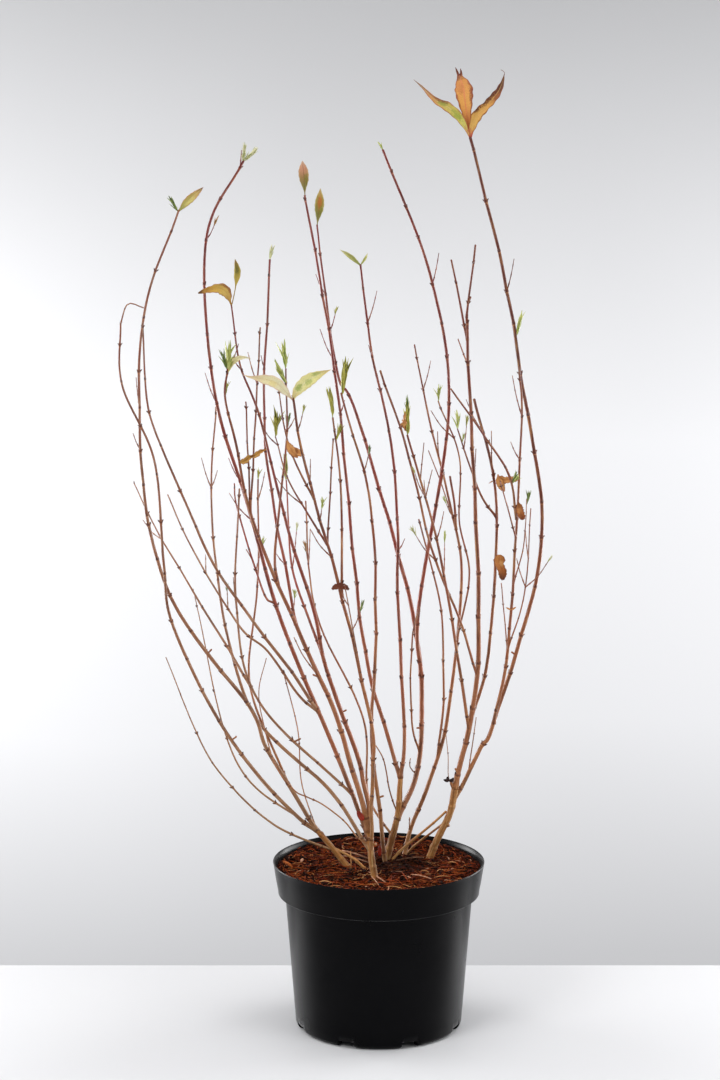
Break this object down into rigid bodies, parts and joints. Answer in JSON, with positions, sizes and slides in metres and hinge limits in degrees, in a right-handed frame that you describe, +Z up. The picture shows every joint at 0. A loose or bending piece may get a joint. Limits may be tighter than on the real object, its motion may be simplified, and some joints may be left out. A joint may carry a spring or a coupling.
{
  "type": "potted weigela shrub",
  "caption": "Bare, many-stemmed flowering shrub in late winter, with slender arching canes, a few dry and fresh leaves, in a round nursery pot.",
  "frame": {"origin": "centre of the pot's flat underside, on the surface that it stands on", "axes": "+Z up along the pot's axis; -Y is the shrub's front, with +X to its right as seen from the front"},
  "size_m": [0.5698, 0.3474, 1.2836],
  "materials": {
    "pot_plastic": "satin charcoal",
    "soil": "matt bark mulch",
    "old_bark": "matt, streaked tan bark",
    "cane_bark": "satin red-brown bark",
    "crown_growth": "thin red-brown canes, dry amber and fresh green leaves"
  },
  "bodies": {
    "root": {"pot": "pot_plastic", "root_ball": "soil", "trunk_front": "old_bark", "trunk_left": "old_bark", "trunk_middle": "old_bark", "trunk_right": "old_bark", "limb_left": "old_bark", "limb_slanting": "old_bark", "limb_slanting_back": "old_bark", "cane_centre": "cane_bark", "cane_centre_back": "cane_bark", "cane_centre_front": "cane_bark", "cane_centre_slim": "cane_bark", "cane_far_left": "cane_bark", "cane_far_right": "cane_bark", "cane_front": "cane_bark", "cane_inner_left": "cane_bark", "cane_inner_right": "cane_bark", "cane_leafy_left": "cane_bark", "cane_left": "cane_bark", "cane_left_back": "cane_bark", "cane_left_front": "cane_bark", "cane_left_low": "cane_bark", "cane_left_tall": "cane_bark", "cane_right_back": "cane_bark", "cane_right_front": "cane_bark", "cane_right_middle": "cane_bark", "cane_right_slim": "cane_bark", "crown_centre": "crown_growth", "crown_centre_back": "crown_growth", "crown_centre_front": "crown_growth", "crown_centre_slim": "crown_growth", "crown_far_left": "crown_growth", "crown_far_right": "crown_growth", "crown_front": "crown_growth", "crown_inner_left": "crown_growth", "crown_inner_right": "crown_growth", "crown_leafy_left": "crown_growth", "crown_left": "crown_growth", "crown_left_back": "crown_growth", "crown_left_front": "crown_growth", "crown_left_low": "crown_growth", "crown_left_tall": "crown_growth", "crown_right_back": "crown_growth", "crown_right_front": "crown_growth", "crown_right_middle": "crown_growth", "crown_right_slim": "crown_growth", "shoot_arched_front": "crown_growth", "shoot_back_left": "crown_growth", "shoot_crossing": "crown_growth", "shoot_front_right": "crown_growth", "shoot_low_left": "crown_growth", "shoot_pale": "crown_growth", "shoot_stray_left": "crown_growth", "shoot_thin_centre": "crown_growth", "shoot_thin_left": "crown_growth", "shoot_thin_right": "crown_growth", "shoot_tufted": "crown_growth", "shoot_wiry_centre": "crown_growth"}
  },
  "joints": []
}
